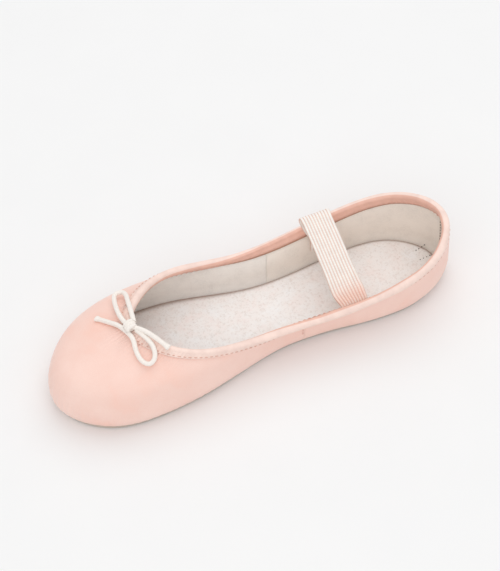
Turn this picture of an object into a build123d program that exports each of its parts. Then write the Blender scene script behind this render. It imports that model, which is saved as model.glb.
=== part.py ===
from build123d import *
import os
import numpy as np

# A ballet slipper for the right foot: a soft leather upper with a drawstring binding, a bow at the
# throat, an elastic strap over the instep and a full suede sole.
# Frame: +Z up, the toe along -Y, the heel along +Y, +X the wearer's left.
# The origin is under the middle of the slipper, on the ground. All sizes are in millimetres.

# ---------------------------------------------------------------- driving dimensions
LENGTH = 235.0
HEEL_Y = LENGTH / 2
TOE_Y = -LENGTH / 2

# Cross stations of the plan, as shares of the length from the middle, heel first
PLAN_SHARES = (0.47, 0.38, 0.22, 0.04, -0.14, -0.30, -0.42)
# The centre line's offset at the heel, each station and the toe
CENTRE_X = (2.9, 1.6, 0.7, 0.0, -0.7, -1.0, 0.8, 3.0, 5.4)
# Half widths at the stations, at the height where the upper bulges most
BULGE_HALF_WIDTH = (14.2, 26.4, 27.3, 25.6, 34.6, 36.6, 28.1)
BULGE_Z = 11.8
# How far the feather edge, where the upper turns under, lies inside the bulge
FEATHER_INSET = (7.0, 6.0, 4.8, 5.2, 5.4, 4.8, 4.5, 4.2, 5.0)
# How far the turned-under margin reaches in from the feather edge
MARGIN_WIDTH = (4.6, 5.4, 7.5, 8.0, 8.0, 8.0, 8.0, 7.5, 7.0)

# The topline: where it is at the heel and the throat, and its stations between them
TOPLINE_HEEL_Y = 113.8
TOPLINE_THROAT_Y = -67.2
TOPLINE_SHARES = (0.03, 0.12, 0.28, 0.46, 0.64, 0.82, 0.94)
TOPLINE_HALF_WIDTH = (16.2, 28.8, 33.2, 31.8, 29.9, 29.0, 18.0)
TOPLINE_Z = (44.4, 41.8, 37.1, 31.2, 27.0, 28.2, 33.6, 38.2, 41.4)

# How far the wall's profile runs upright from the bulge, and along its own line at the topline
UPRIGHT_PULL = 0.88
LEAN_PULL = 0.49
RISE_PULL = 0.34
COLUMN_SHIFT = 0.44

# Thicknesses of the layers, and the clearance between neighbouring layers
OUTSOLE_THICK = 2.0
LEATHER_THICK = 1.0
LINING_THICK = 0.6
FILLER_THICK = 1.55
FOAM_THICK = 2.0
SOCK_THICK = 0.8
TAPE_THICK = 0.5
LAYER_GAP = 0.1
SOLE_GAP = 0.3

# The binding that folds over the topline and holds the drawstring
BINDING_THICK = 0.8
BINDING_DEPTH = 6.5
# The folded section's outside as (drop from the topline, how far it stands out past the flap)
BINDING_SIDE = ((BINDING_DEPTH, 0.0), (5.6, 0.0), (4.7, 0.05), (3.8, 0.24))
CHANNEL_RADIUS = 2.25
DRAWSTRING_DIA = 2.4
BOW_CORD_DIA = 2.6

# The elastic strap
STRAP_WIDTH = 18.0
STRAP_THICK = 1.4
STRAP_LINE = ((23.2, 22.8), (19.0, 22.8), (14.0, 24.0), (9.5, 25.9), (0.0, 30.2), (-9.5, 34.4),
              (-18.0, 37.7), (-24.0, 39.9), (-27.4, 40.3), (-28.9, 38.2), (-27.9, 34.4), (-26.3, 30.8))
# Where the strap's middle lies along the slipper, as (share of its length, y)
STRAP_ASLANT = ((0.0, 50.2), (0.8, 51.0), (1.0, 53.6))
STRAP_NEAR_TAB_Y = 50.2
STRAP_FAR_TAB_Y = 55.7
STRAP_TAB_DROP = (7.4, 16.0)
STRAP_TAB_WIDTH = 15.6
STRAP_TAB_THICK = 1.2

# The bow: the middle lines of its two cords, from the knot round a loop and through to the tail
BOW_CORD_RIGHT = ((2.2, -67.7, 44.6), (-3.5, -66.5, 44.4), (-10.0, -65.2, 43.1), (-17.2, -63.6, 40.1),
                  (-22.4, -62.3, 37.4), (-26.2, -63.2, 35.7), (-27.0, -67.2, 34.9), (-22.4, -69.2, 36.4),
                  (-14.9, -71.0, 39.2), (-7.7, -72.0, 41.4), (-1.2, -71.9, 43.0), (4.0, -70.2, 44.0),
                  (8.6, -65.9, 44.9), (14.6, -61.4, 43.2), (20.8, -57.6, 40.4))
BOW_CORD_LEFT = ((6.6, -68.4, 43.4), (11.6, -65.9, 42.6), (17.6, -63.5, 40.2), (23.2, -64.7, 37.2),
                 (25.2, -68.7, 35.4), (21.8, -72.2, 36.2), (15.6, -72.8, 38.6), (9.8, -71.4, 41.8),
                 (3.8, -73.3, 42.3), (-2.4, -75.0, 40.8), (-8.4, -78.0, 37.9), (-14.6, -81.5, 35.4))
KNOT_CENTRE = (3.7, -70.6, 44.3)
KNOT_SIZE = (7.4, 6.4, 4.8)
KNOT_EDGE_RADIUS = 2.2
KNOT_TILT = 20.0

# The sole and the upper bend across the arch at this cross plane
FLEX_Y = 21.0
FLEX_GAP = 0.3

# How far round the upper each piece runs, before the flex plane trims it: 0 the heel, 0.5 the toe
VAMP_RANGE = (0.24, 0.76)
QUARTER_LEFT_RANGE = (0.0008, 0.28)
QUARTER_RIGHT_RANGE = (0.72, 0.9992)
HEEL_BINDING_RANGE = (-0.28, 0.28)
TAPE_HALF_RANGE = 0.012
TAPE_DROP = (BINDING_DEPTH + 0.5, 31.0)

# How far the sole's layers stand out past the line they follow, or are drawn in from it
OUTSOLE_LEDGE = 0.8
FILLER_INSET = 0.3
FOAM_LOW_INSET = 0.1
FOAM_HIGH_LEDGE = 0.2
SOCK_LEDGE = 0.3

# Stitching
THREAD_DIA = 0.5
STITCH_LENGTH = 2.2
STITCH_PITCH = 3.6
STITCH_INSET = 1.3
STITCH_LIFT = 0.08
STITCH_START = 0.6
SEAM_DROP = 22.0
SEAM_SETBACK = 1.6
BINDING_STITCH_INSET = 0.9
BINDING_STITCH_MARGIN = 1.2
BACK_SEAM_HALF_RANGE = 0.008
BACK_SEAM_DROP = (12.0, 30.0)
BACK_STITCH_LENGTH = 1.4
BACK_STITCH_PITCH = 2.6

# ---------------------------------------------------------------- derived heights and depths
SOLE_TOP = OUTSOLE_THICK + SOLE_GAP
LINING_DEPTH = LEATHER_THICK + LAYER_GAP
WALL_DEPTH = LINING_DEPTH + LINING_THICK
FOAM_BOTTOM = SOLE_TOP + WALL_DEPTH + LAYER_GAP
SOCK_BOTTOM = FOAM_BOTTOM + FOAM_THICK + LAYER_GAP
CHANNEL_DROP = CHANNEL_RADIUS
EDGE_DROP = CHANNEL_DROP + CHANNEL_RADIUS - BINDING_THICK + 0.15
MID_DEPTH = WALL_DEPTH / 2
FLAP_HALF = MID_DEPTH + LAYER_GAP + BINDING_THICK

STEP = 0.0005          # the small difference used for slopes
ROWS = 34              # rows of points up the side of the upper
BOX = 400.0            # larger than the slipper, for cutting


class ClosedSpline:
    """A closed cubic spline; at(u) runs from the heel (0) by the left side to the toe (0.5)."""

    def __init__(self, points):
        here = np.array(points, float)
        ahead = np.roll(here, -1, axis=0)
        gap = np.linalg.norm(ahead - here, axis=1) ** 0.5
        count = len(here)
        slope = (ahead - here) / gap[:, None]
        matrix = np.zeros((count, count))
        for i in range(count):
            matrix[i, i - 1] += gap[i - 1]
            matrix[i, i] += 2 * (gap[i - 1] + gap[i])
            matrix[i, (i + 1) % count] += gap[i]
        bend = np.linalg.solve(matrix, 6 * (slope - np.roll(slope, 1, axis=0)))
        self.here, self.ahead, self.gap = here, ahead, gap
        self.bend, self.bend_ahead = bend, np.roll(bend, -1, axis=0)
        self.knots = np.concatenate([[0], np.cumsum(gap)])
        self.half = self.knots[count // 2]

    def at(self, u):
        u = np.asarray(u, float) % 1.0
        whole = self.knots[-1]
        t = np.where(u < 0.5, 2 * u * self.half, self.half + (2 * u - 1) * (whole - self.half))
        i = np.clip(np.searchsorted(self.knots, t, side="right") - 1, 0, len(self.gap) - 1)
        h = self.gap[i][..., None]
        b = t[..., None] - self.knots[i][..., None]
        a = h - b
        curved = (self.bend[i] * a**3 + self.bend_ahead[i] * b**3) / (6 * h)
        start = (self.here[i] / h - self.bend[i] * h / 6) * a
        end = (self.ahead[i] / h - self.bend_ahead[i] * h / 6) * b
        return curved + start + end

    def outward(self, u):
        """The level direction out of the loop."""
        along = self.at(np.asarray(u) + STEP) - self.at(np.asarray(u) - STEP)
        out = np.stack([-along[..., 1], along[..., 0], 0 * along[..., 0]], -1)
        return out / np.linalg.norm(out, axis=-1, keepdims=True)


def closed_loop(heel, left, toe, right):
    return ClosedSpline([heel, *left, toe, *right[::-1]])


def bulge_loop():
    rows = zip(CENTRE_X[1:-1], BULGE_HALF_WIDTH, PLAN_SHARES)
    sides = [(c, w, share * LENGTH) for c, w, share in rows]
    left = [(c + w, y, BULGE_Z) for c, w, y in sides]
    right = [(c - w, y, BULGE_Z) for c, w, y in sides]
    return closed_loop((CENTRE_X[0], HEEL_Y, BULGE_Z), left, (CENTRE_X[-1], TOE_Y, BULGE_Z), right)


def inset_loop(loop, insets, z):
    """A level loop inside another by a distance that varies from the heel to the toe."""
    share = loop.knots[:-1] / loop.knots[-1]
    half = loop.half / loop.knots[-1]
    u = np.where(share <= half, share / half / 2, 0.5 + (share - half) / (1 - half) / 2)
    both = np.array([*insets, *insets[-2:0:-1]])
    points = loop.at(u) - loop.outward(u) * both[:, None]
    points[:, 2] = z
    return ClosedSpline(points)


def topline_loop():
    plan_y = [share * LENGTH for share in PLAN_SHARES]
    left, right = [], []
    for share, width, z in zip(TOPLINE_SHARES, TOPLINE_HALF_WIDTH, TOPLINE_Z[1:-1]):
        y = TOPLINE_HEEL_Y + (TOPLINE_THROAT_Y - TOPLINE_HEEL_Y) * share
        centre = np.interp(y, plan_y[::-1], CENTRE_X[1:-1][::-1])
        left.append((centre + width, y, z))
        right.append((centre - width, y, z))
    throat_x = np.interp(TOPLINE_THROAT_Y, plan_y[::-1], CENTRE_X[1:-1][::-1])
    heel = (CENTRE_X[0], TOPLINE_HEEL_Y, TOPLINE_Z[0])
    return closed_loop(heel, left, (throat_x, TOPLINE_THROAT_Y, TOPLINE_Z[-1]), right)


BULGE = bulge_loop()
FEATHER = inset_loop(BULGE, FEATHER_INSET, SOLE_TOP)
MARGIN = inset_loop(FEATHER, MARGIN_WIDTH, SOLE_TOP)
TOPLINE = topline_loop()


# ---------------------------------------------------------------- the upper's surface
def below(u):
    """Where the lower loops lie straight below a place on the topline; they run ahead to the toe."""
    half = np.minimum(u % 1.0, 1 - u % 1.0)
    share = 2 * half
    moved = half - COLUMN_SHIFT * share**2 * (1 - share) ** 1.5
    return np.where(u % 1.0 < 0.5, moved, 1 - moved)


def wall(u, v):
    """The outside of the upper, from the bulge (v = 0) to the topline (v = 1)."""
    low, high = BULGE.at(below(u)), TOPLINE.at(u)
    rise = (high - low) * [0, 0, 1]
    lean = (high - low) * [1, 1, 0]
    second = low + rise * UPRIGHT_PULL
    third = high - lean * LEAN_PULL - rise * RISE_PULL
    v = np.asarray(v)[..., None]
    return (1 - v) ** 3 * low + 3 * (1 - v) ** 2 * v * second + 3 * (1 - v) * v**2 * third + v**3 * high


def wall_outward(u, v):
    along = wall(u + STEP, v) - wall(u - STEP, v)
    up = wall(u, v + STEP) - wall(u, v - STEP)
    out = np.cross(up, along)
    return out / np.linalg.norm(out, axis=-1, keepdims=True)


def drop_to_v(u, drop):
    """The profile share that lies a given distance down the wall from the topline."""
    shares = np.linspace(1, 0, 81)
    points = wall(u[:, None], np.tile(shares, (len(u), 1)))
    steps = np.linalg.norm(np.diff(points, axis=1), axis=2)
    dropped = np.concatenate([np.zeros((len(u), 1)), np.cumsum(steps, axis=1)], axis=1)
    return np.array([np.interp(drop, row, shares) for row in dropped])


def from_topline(u, drop, depth):
    """Points a distance down from the topline, and a depth in from the upper's outside."""
    u = np.atleast_1d(u)
    v = drop_to_v(u, drop)
    return wall(u, v) - wall_outward(u, v) * depth


def upper_rows(u, depth, top_drop):
    """Rows of points at one depth, from the margin's inner edge round the feather to the top."""
    low = below(u)
    feather, bulge, margin = FEATHER.at(low), BULGE.at(low), MARGIN.at(low)
    inward = BULGE.outward(low) * -depth
    rows = []
    for share in np.linspace(1, 0, 10, endpoint=False):
        rows.append(feather + (margin - feather) * share + inward + [0, 0, depth])
    for turn in np.radians(np.linspace(0, 90, 16, endpoint=False)):
        point = feather + (bulge - feather) * [np.sin(turn), np.sin(turn), 1 - np.cos(turn)]
        rows.append(point + inward + [0, 0, depth * np.cos(turn)])
    top = drop_to_v(u, top_drop)
    for share in np.linspace(0, 1, 40):
        rows.append(wall(u, top * share) - wall_outward(u, top * share) * depth)
    return evenly_spaced(np.array(rows), ROWS)


def evenly_spaced(grid, count):
    """The same surface with its rows spaced evenly along every column."""
    steps = np.linalg.norm(np.diff(grid, axis=0), axis=2)
    run = np.concatenate([np.zeros((1, grid.shape[1])), np.cumsum(steps, axis=0)])
    spaced = np.empty((count, grid.shape[1], 3))
    for column in range(grid.shape[1]):
        wanted = np.linspace(0, run[-1, column], count)
        for axis in range(3):
            spaced[:, column, axis] = np.interp(wanted, run[:, column], grid[:, column, axis])
    return spaced


def side_points(ys, drop, depth, side):
    """Points at given places along one side, at one drop from the topline and one depth."""
    u = np.linspace(0.1, 0.4, 160) * side
    line = from_topline(u, drop, depth)[::-1]
    return np.stack([np.interp(ys, line[:, 1], line[:, axis]) for axis in range(3)], -1)


def u_at_y(loop, y, side):
    """Where a loop passes a given y on one side: side is +1 for left, -1 for right."""
    u = np.linspace(0, 0.5, 2001)
    ys = loop.at(u if side > 0 else -u)[:, 1]
    found = float(np.interp(y, ys[::-1], u[::-1]))
    return found if side > 0 else 1 - found


# ---------------------------------------------------------------- solids from point grids
def patch(grid):
    points = [[Vector(*map(float, point)) for point in row] for row in grid]
    return Face.make_surface_from_array_of_points(points, tol=0.03, min_deg=3, max_deg=3)


def border(face, points):
    """The edge of a face that lies along a row of its grid."""
    return face.edges().sort_by_distance(Vector(*map(float, points[len(points) // 2])))[0]


def slab(outer, inner):
    """The closed solid between two grids of the same size."""
    outer, inner = np.asarray(outer), np.asarray(inner)
    faces = [patch(outer), patch(inner)]
    sides = ((outer[0], inner[0]), (outer[-1], inner[-1]),
             (outer[:, 0], inner[:, 0]), (outer[:, -1], inner[:, -1]))
    for outer_side, inner_side in sides:
        first = border(faces[0], outer_side)
        second = border(faces[1], inner_side)
        faces.append(Face.make_surface_from_curves(first, second))
    return Solid(Shell(faces))


def half_of(shape, heel):
    """The part of a shape on one side of the flex plane, with half the gap taken off."""
    if heel:
        cutter = Pos(0, FLEX_Y + FLEX_GAP / 2 + BOX / 2, 0) * Box(BOX, BOX, BOX)
    else:
        cutter = Pos(0, FLEX_Y - FLEX_GAP / 2 - BOX / 2, 0) * Box(BOX, BOX, BOX)
    return shape & cutter


def plate(loop, inset, bottom, thick):
    """A flat plate whose outline is a loop drawn in by an inset."""
    return extrude(outline_face(loop, inset, bottom), thick)


def outline_face(loop, inset, z):
    u = np.linspace(0, 1, 48, endpoint=False)
    points = loop.at(u) - loop.outward(u) * inset
    return make_face(Spline(*[(float(x), float(y), z) for x, y, _ in points], periodic=True))


# ---------------------------------------------------------------- the sole and what lies on it
def outsole():
    return plate(FEATHER, -OUTSOLE_LEDGE, 0.0, OUTSOLE_THICK)


def bottom_filler():
    return plate(MARGIN, WALL_DEPTH + FILLER_INSET, SOLE_TOP, FILLER_THICK)


def insole_foam():
    low = outline_face(FEATHER, WALL_DEPTH + FOAM_LOW_INSET, FOAM_BOTTOM)
    high = outline_face(FEATHER, -FOAM_HIGH_LEDGE, FOAM_BOTTOM + FOAM_THICK)
    return Solid.make_loft([low.wire(), high.wire()], ruled=True)


def sock_lining():
    return plate(FEATHER, -SOCK_LEDGE, SOCK_BOTTOM, SOCK_THICK)


# ---------------------------------------------------------------- the upper
def upper_piece(start, end, columns, depth, thick):
    u = np.linspace(start, end, columns)
    return slab(upper_rows(u, depth, EDGE_DROP), upper_rows(u, depth + thick, EDGE_DROP))


def vamp_layer(depth, thick):
    return half_of(upper_piece(*VAMP_RANGE, 71, depth, thick), heel=False)


def quarter_layer(side, depth, thick):
    ends = QUARTER_LEFT_RANGE if side > 0 else QUARTER_RIGHT_RANGE
    return half_of(upper_piece(*ends, 41, depth, thick), heel=True)


def heel_stay_tape():
    u = np.linspace(-TAPE_HALF_RANGE, TAPE_HALF_RANGE, 9)
    top = WALL_DEPTH + LAYER_GAP
    drops = np.linspace(*TAPE_DROP, 9)
    return slab([from_topline(u, d, top) for d in drops],
                [from_topline(u, d, top + TAPE_THICK) for d in drops])


# ---------------------------------------------------------------- the binding and the drawstring
def binding_section(inward):
    """The folded section as (drop, distance from the wall's middle), offset inward."""
    side = [(drop, FLAP_HALF + out) for drop, out in BINDING_SIDE]
    radius = CHANNEL_RADIUS - inward
    arc = [(CHANNEL_DROP - radius * np.sin(a), radius * np.cos(a)) for a in np.radians(range(-20, 201, 20))]
    down = [(drop, half - inward) for drop, half in side]
    return [*down, *arc, *[(drop, -half) for drop, half in reversed(down)]]


def round_topline(section, u):
    return [from_topline(u, drop, MID_DEPTH - half) for drop, half in section]


def binding(u):
    return slab(round_topline(binding_section(0), u), round_topline(binding_section(BINDING_THICK), u))


def drawstring(u):
    radius = DRAWSTRING_DIA / 2
    angles = np.radians(np.linspace(12, 168, 9))
    upper = [(CHANNEL_DROP - radius * np.sin(a), radius * np.cos(a)) for a in angles]
    lower = [(CHANNEL_DROP + radius * np.sin(a), radius * np.cos(a)) for a in angles]
    return slab(round_topline(upper, u), round_topline(lower, u))


HEEL_PART = np.linspace(*HEEL_BINDING_RANGE, 61)
THROAT_PART = np.linspace(*VAMP_RANGE, 81)


# ---------------------------------------------------------------- the bow
def corner_radii(route):
    """The largest arcs that the runs allow: 0.45 of the shorter run over tan of half the turn."""
    radii = []
    for a, b, c in zip(route, route[1:], route[2:]):
        first, second = Vector(*b) - Vector(*a), Vector(*c) - Vector(*b)
        turn = first.get_angle(second)
        radii.append(0.45 * min(first.length, second.length) / np.tan(np.radians(turn / 2)))
    return radii


def bow_cord(name, route):
    radii = corner_radii(route)
    path = FilletPolyline(*route, radius=radii)
    tube = sweep(Plane(path @ 0, z_dir=path % 0) * Circle(BOW_CORD_DIA / 2), path=path)
    section = np.pi * BOW_CORD_DIA**2 / 4
    print(name, "radii", [round(float(r), 1) for r in radii])
    print(name, "length", round(path.length, 1), "volume share", round(tube.volume / section / path.length, 3))
    return tube


def bow_knot():
    body = Box(*KNOT_SIZE)
    body = fillet(body.edges(), KNOT_EDGE_RADIUS)
    return Pos(*KNOT_CENTRE) * Rot(KNOT_TILT, 0, 0) * body


# ---------------------------------------------------------------- the elastic strap
def elastic_strap():
    line = Spline(*[(x, 0, z) for x, z in STRAP_LINE])
    shares = np.linspace(0, 1, 41)
    middle = np.array([tuple(line @ t) for t in shares])
    along = np.array([tuple(line % t) for t in shares])
    up = np.stack([-along[:, 2], 0 * along[:, 0], along[:, 0]], -1) * -STRAP_THICK / 2
    aslant = np.interp(shares, *zip(*STRAP_ASLANT))
    rows = []
    for across in np.linspace(-STRAP_WIDTH / 2, STRAP_WIDTH / 2, 5):
        row = middle.copy()
        row[:, 1] = aslant + across
        rows.append(row)
    rows = np.array(rows)
    return slab(rows + up, rows - up)


def strap_middle(side):
    return STRAP_NEAR_TAB_Y if side > 0 else STRAP_FAR_TAB_Y


def strap_tab(side):
    """The sewn-down end of the elastic, flat on the lining under the binding."""
    ys = strap_middle(side) + np.linspace(-STRAP_TAB_WIDTH / 2, STRAP_TAB_WIDTH / 2, 9)
    top = WALL_DEPTH + LAYER_GAP
    drops = np.linspace(*STRAP_TAB_DROP, 7)
    return slab([side_points(ys, d, top, side) for d in drops],
                [side_points(ys, d, top + STRAP_TAB_THICK, side) for d in drops])


# ---------------------------------------------------------------- stitching
def stitch(start, end):
    """One straight thread stitch between two points."""
    start, end = Vector(*map(float, start)), Vector(*map(float, end))
    return Solid.make_cylinder(THREAD_DIA / 2, (end - start).length, Plane(start, z_dir=end - start))


def stitches_along(points, pitch=STITCH_PITCH, length=STITCH_LENGTH):
    """A row of stitches along a line of close points."""
    steps = np.linalg.norm(np.diff(points, axis=0), axis=1)
    run = np.concatenate([[0], np.cumsum(steps)])
    found = []
    for start in np.arange(STITCH_START, run[-1] - length, pitch):
        ends = [[np.interp(s, run, points[:, k]) for k in range(3)] for s in (start, start + length)]
        found.append(stitch(*ends))
    return found


def raised(thick):
    """Depth of a thread's middle that lies just outside the upper's outside by a thickness."""
    return -(thick + THREAD_DIA / 2 + STITCH_LIFT)


def binding_stitches(heel):
    drop = BINDING_DEPTH - BINDING_STITCH_INSET
    margin = BINDING_STITCH_MARGIN if heel else -BINDING_STITCH_MARGIN
    ends = [u_at_y(TOPLINE, FLEX_Y + margin, side) for side in (1, -1)]
    if heel:
        u = np.linspace(ends[1] - 1, ends[0], 500)
    else:
        u = np.linspace(ends[0], ends[1], 500)
    return stitches_along(from_topline(u, drop, raised(LAYER_GAP + BINDING_THICK)))


def side_seam_stitches():
    """A seam up each side, just in front of the flex plane."""
    found = []
    for side in (1, -1):
        drops = np.linspace(BINDING_DEPTH + STITCH_INSET, SEAM_DROP, 30)
        line = np.array([side_points(FLEX_Y - SEAM_SETBACK, d, raised(0), side) for d in drops])
        found += stitches_along(line)
    return found


def back_seam_stitches():
    """Two rows inside the heel, one each side of the seam, through the stay tape."""
    depth = WALL_DEPTH + LAYER_GAP + TAPE_THICK + THREAD_DIA / 2 + STITCH_LIFT
    drops = np.linspace(*BACK_SEAM_DROP, 40)
    found = []
    for u in (-BACK_SEAM_HALF_RANGE, BACK_SEAM_HALF_RANGE):
        line = np.array([from_topline(u, drop, depth)[0] for drop in drops])
        found += stitches_along(line, BACK_STITCH_PITCH, BACK_STITCH_LENGTH)
    return found


def strap_stitches():
    """A sewn box on each of the strap's ends."""
    depth = WALL_DEPTH + LAYER_GAP + STRAP_TAB_THICK + THREAD_DIA / 2 + STITCH_LIFT
    found = []
    reach = STRAP_TAB_WIDTH / 2 - STITCH_INSET
    for side in (1, -1):
        ys = strap_middle(side) + np.linspace(-reach, reach, 40)
        for drop in (STRAP_TAB_DROP[0] + STITCH_INSET, STRAP_TAB_DROP[1] - STITCH_INSET):
            found += stitches_along(side_points(ys, drop, depth, side))
    return found


# ---------------------------------------------------------------- the nodes
def sole_nodes():
    nodes = {}
    makers = {"outsole": outsole, "bottom_filler": bottom_filler,
              "insole_foam": insole_foam, "sock_lining": sock_lining}
    for name, make in makers.items():
        whole = make()
        nodes[name + "_heel"] = half_of(whole, heel=True)
        nodes[name + "_toe"] = half_of(whole, heel=False)
    return nodes


def upper_nodes():
    nodes = {"vamp": vamp_layer(0, LEATHER_THICK), "vamp_lining": vamp_layer(LINING_DEPTH, LINING_THICK)}
    for name, side in (("left", 1), ("right", -1)):
        nodes["quarter_" + name] = quarter_layer(side, 0, LEATHER_THICK)
        nodes["quarter_lining_" + name] = quarter_layer(side, LINING_DEPTH, LINING_THICK)
    nodes["heel_stay_tape"] = heel_stay_tape()
    return nodes


def topline_nodes():
    return {"binding_heel": half_of(binding(HEEL_PART), heel=True),
            "binding_throat": half_of(binding(THROAT_PART), heel=False),
            "drawstring_heel": half_of(drawstring(HEEL_PART), heel=True),
            "drawstring_throat": half_of(drawstring(THROAT_PART), heel=False)}


def bow_nodes():
    return {"bow_cord_left": bow_cord("bow_cord_left", BOW_CORD_LEFT),
            "bow_cord_right": bow_cord("bow_cord_right", BOW_CORD_RIGHT),
            "bow_knot": bow_knot()}


def strap_nodes():
    return {"elastic_strap": elastic_strap(), "strap_end_left": strap_tab(1), "strap_end_right": strap_tab(-1)}


def stitch_nodes():
    return {"binding_stitches_heel": Compound(binding_stitches(heel=True)),
            "binding_stitches_throat": Compound(binding_stitches(heel=False)),
            "side_seam_stitches": Compound(side_seam_stitches()),
            "back_seam_stitches": Compound(back_seam_stitches()),
            "strap_stitches": Compound(strap_stitches())}


def main():
    os.makedirs("parts", exist_ok=True)
    for group in (sole_nodes, upper_nodes, topline_nodes, bow_nodes, strap_nodes, stitch_nodes):
        for name, shape in group().items():
            export_step(shape, os.path.join("parts", name + ".step"))


main()
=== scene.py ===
import math
import random

import bmesh
import bpy
import numpy as np
from mathutils import Matrix, Vector


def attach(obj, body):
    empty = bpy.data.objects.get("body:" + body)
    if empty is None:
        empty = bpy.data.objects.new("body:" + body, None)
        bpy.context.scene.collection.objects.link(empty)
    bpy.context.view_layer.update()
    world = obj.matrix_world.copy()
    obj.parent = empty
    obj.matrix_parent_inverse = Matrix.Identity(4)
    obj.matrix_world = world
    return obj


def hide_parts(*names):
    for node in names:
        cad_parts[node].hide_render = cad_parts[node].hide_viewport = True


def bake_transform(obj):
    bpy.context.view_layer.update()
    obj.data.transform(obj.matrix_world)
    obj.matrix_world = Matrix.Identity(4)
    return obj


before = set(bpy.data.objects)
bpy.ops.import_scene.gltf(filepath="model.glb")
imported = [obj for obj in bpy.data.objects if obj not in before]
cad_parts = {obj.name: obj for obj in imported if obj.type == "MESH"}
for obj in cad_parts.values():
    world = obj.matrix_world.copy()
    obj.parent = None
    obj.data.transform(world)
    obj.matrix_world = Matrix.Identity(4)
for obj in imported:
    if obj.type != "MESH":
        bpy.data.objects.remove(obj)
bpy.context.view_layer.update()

MM = 0.001
rng = random.Random(7)

# ---------------------------------------------------------------- the slipper's shape, millimetres
# The same closed loops and profile as the CAD upper, so the soft pieces lie where its solids are.
LENGTH = 235.0
PLAN_SHARES = (0.47, 0.38, 0.22, 0.04, -0.14, -0.30, -0.42)
CENTRE_X = (2.9, 1.6, 0.7, 0.0, -0.7, -1.0, 0.8, 3.0, 5.4)
BULGE_HALF_WIDTH = (14.2, 26.4, 27.3, 25.6, 34.6, 36.6, 28.1)
BULGE_Z = 11.8
FEATHER_INSET = (7.0, 6.0, 4.8, 5.2, 5.4, 4.8, 4.5, 4.2, 5.0)
MARGIN_WIDTH = (4.6, 5.4, 7.5, 8.0, 8.0, 8.0, 8.0, 7.5, 7.0)
TOPLINE_HEEL_Y = 113.8
TOPLINE_THROAT_Y = -67.2
TOPLINE_SHARES = (0.03, 0.12, 0.28, 0.46, 0.64, 0.82, 0.94)
TOPLINE_HALF_WIDTH = (16.2, 28.8, 33.2, 31.8, 29.9, 29.0, 18.0)
TOPLINE_Z = (44.4, 41.8, 37.1, 31.2, 27.0, 28.2, 33.6, 38.2, 41.4)
UPRIGHT_PULL, LEAN_PULL, RISE_PULL = 0.88, 0.49, 0.34
COLUMN_SHIFT = 0.44
SOLE_TOP = 2.3
LEATHER, LINING, LAYER_GAP = 1.0, 0.6, 0.1
LINING_DEPTH = LEATHER + LAYER_GAP
WALL_DEPTH = LINING_DEPTH + LINING
MID_DEPTH = WALL_DEPTH / 2
BINDING_THICK, BINDING_DEPTH, CHANNEL_RADIUS = 0.8, 6.5, 2.25
FLAP_HALF = MID_DEPTH + LAYER_GAP + BINDING_THICK
EDGE_TUCK = 0.15
EDGE_DROP = 2 * CHANNEL_RADIUS - BINDING_THICK + EDGE_TUCK
FOAM_BOTTOM = SOLE_TOP + WALL_DEPTH + LAYER_GAP
FOAM, SOCK = 2.0, 0.8
SOCK_TOP = FOAM_BOTTOM + FOAM + LAYER_GAP + SOCK
TAPE_THICK = 0.5
FLEX_Y, BEND_HALF = 21.0, 26.0
SEAM_SETBACK = 1.6

# Places round the slipper are u, from the heel (0) by the left side to the toe (0.5) and back
STEP = 0.0005
SIDE_SEAM_U, BACK_SEAM_U = 0.2575, 0.0006
VAMP_RANGE = (SIDE_SEAM_U, 1 - SIDE_SEAM_U)
QUARTER_LEFT_RANGE = (BACK_SEAM_U, SIDE_SEAM_U)
QUARTER_RIGHT_RANGE = (1 - SIDE_SEAM_U, 1 - BACK_SEAM_U)
TAPE_HALF_U, BACK_STITCH_U = 0.012, 0.0085

# How far the leather, lining and binding leave their smooth shape
RIPPLE, DENT, PUCKER, BINDING_FOLD, BINDING_SWELL = 0.22, 0.28, 0.30, 0.45, 0.10
LINING_CREASE, LINING_LOOSE = 0.38, 0.16

# Stitches: pitch, length and thread radius
FIRST_STITCH = 0.4
BINDING_STITCH = (2.9, 1.9, 0.26)
SEAM_STITCH = (2.6, 1.7, 0.22)
BACK_STITCH = (2.4, 1.0, 0.3)
SOCK_STITCH = (2.1, 0.9, 0.32)
SOLE_STITCH = (3.2, 2.3, 0.25)
STRAP_STITCH = (2.4, 1.7, 0.24)
BINDING_STITCH_DROP = BINDING_DEPTH - 0.9
THREAD_LIFT = 0.14

STRAP_WIDTH, STRAP_THICK = 18.0, 1.4
STRAP_NEAR_Y, STRAP_FAR_Y, STRAP_FAR_TAB_Y = 50.2, 51.0, 55.7
STRAP_TAB_SHARE = 0.87
STRAP_RIBS = 10
STRAP_TAB_DROPS = (16.0, 13.4, 10.8)
STRAP_TAB_LIFT = 0.75
STRAP_MIDDLE_Y = (STRAP_NEAR_Y + STRAP_FAR_Y) / 2
# The elastic's middle line in (x, z), from its sewn end out to the middle of the span
STRAP_NEAR_HALF = ((24.6, 21.4), (23.2, 22.6), (19.0, 22.8), (14.0, 24.0), (9.5, 25.9), (0.0, 30.2))
STRAP_FAR_HALF = ((-26.1, 26.6), (-26.3, 30.8), (-27.9, 34.4), (-28.9, 38.2), (-27.4, 40.3), (-24.0, 39.9),
                  (-18.0, 37.7), (-9.5, 34.4), (0.0, 30.2))

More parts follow.
